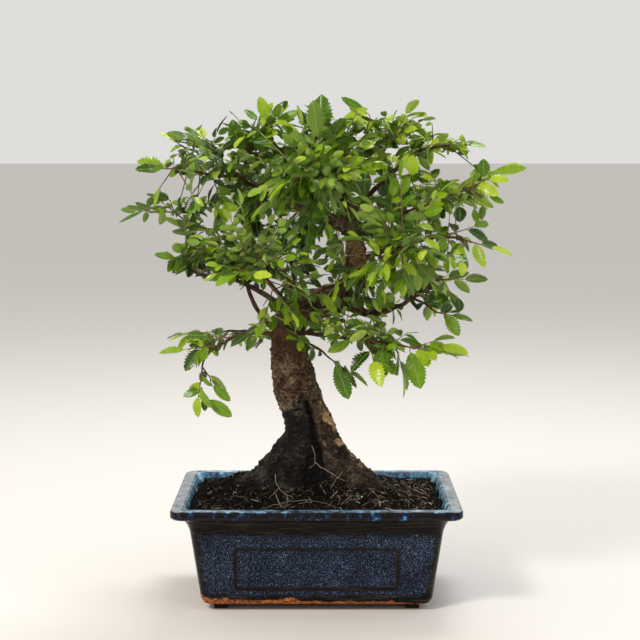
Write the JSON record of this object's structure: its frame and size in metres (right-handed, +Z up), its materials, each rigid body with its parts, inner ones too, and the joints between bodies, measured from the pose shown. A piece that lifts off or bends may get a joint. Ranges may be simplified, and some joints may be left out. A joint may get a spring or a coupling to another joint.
{
  "type": "bonsai tree in a pot",
  "caption": "Small S-trunked zelkova bonsai with root flare, spreading limbs and toothed leafy shoots, in a rectangular glazed pot with lip, sunk panels and soil.",
  "frame": {"origin": "on the surface the pot stands on, under the middle of the pot and of the crown", "axes": "+Z up, +X along the pot's length towards the side the leader leans to, +Y towards the back"},
  "size_m": [0.2828, 0.2156, 0.3539],
  "materials": {
    "glazed_pot": "stoneware with a mottled dark blue gloss glaze, bare red-brown clay at the foot",
    "soil": "moist dark brown peat and coir with loose fibres",
    "drain_mesh": "black mesh",
    "bark": "grey-brown bark with fine cross ridges, nearly black and moist on the lower trunk and roots",
    "leafy_shoot": "satin green leaves, yellow-green at the tips, on green to brown stems"
  },
  "bodies": {
    "root": {"pot": "glazed_pot", "drain_mesh_left": "drain_mesh", "drain_mesh_right": "drain_mesh", "soil": "soil", "trunk_and_limbs": "bark", "spray_leader_1": "leafy_shoot", "spray_leader_2": "leafy_shoot", "spray_left_main_1": "leafy_shoot", "spray_left_main_2": "leafy_shoot", "spray_left_main_3": "leafy_shoot", "spray_left_rise_1": "leafy_shoot", "spray_left_rise_2": "leafy_shoot", "spray_left_rise_3": "leafy_shoot", "spray_left_low_1": "leafy_shoot", "spray_left_low_2": "leafy_shoot", "spray_left_low_3": "leafy_shoot", "spray_left_low_4": "leafy_shoot", "spray_upright_1": "leafy_shoot", "spray_upright_2": "leafy_shoot", "spray_upper_left_1": "leafy_shoot", "spray_upper_left_2": "leafy_shoot", "spray_upper_left_3": "leafy_shoot", "spray_upper_left_low_1": "leafy_shoot", "spray_shoulder_left_1": "leafy_shoot", "spray_crown_centre_1": "leafy_shoot", "spray_crown_centre_2": "leafy_shoot", "spray_crown_right_1": "leafy_shoot", "spray_crown_right_2": "leafy_shoot", "spray_right_top_1": "leafy_shoot", "spray_right_top_2": "leafy_shoot", "spray_right_high_1": "leafy_shoot", "spray_right_high_2": "leafy_shoot", "spray_right_high_3": "leafy_shoot", "spray_right_mid_1": "leafy_shoot", "spray_right_mid_2": "leafy_shoot", "spray_right_heavy_1": "leafy_shoot", "spray_right_heavy_2": "leafy_shoot", "spray_right_droop_1": "leafy_shoot", "spray_low_right_1": "leafy_shoot", "spray_low_right_2": "leafy_shoot", "spray_low_right_3": "leafy_shoot", "spray_low_right_4": "leafy_shoot", "spray_low_mid_1": "leafy_shoot", "spray_front_twig_1": "leafy_shoot", "spray_front_left_1": "leafy_shoot", "spray_front_left_2": "leafy_shoot", "spray_front_right_1": "leafy_shoot", "spray_front_right_2": "leafy_shoot", "spray_front_high_1": "leafy_shoot", "spray_front_high_2": "leafy_shoot", "spray_back_left_1": "leafy_shoot", "spray_back_left_2": "leafy_shoot", "spray_back_low_left_1": "leafy_shoot", "spray_back_low_right_1": "leafy_shoot", "spray_back_mid_1": "leafy_shoot", "spray_back_mid_2": "leafy_shoot", "spray_back_high_1": "leafy_shoot", "spray_back_right_1": "leafy_shoot", "spray_back_right_2": "leafy_shoot"}
  },
  "joints": []
}
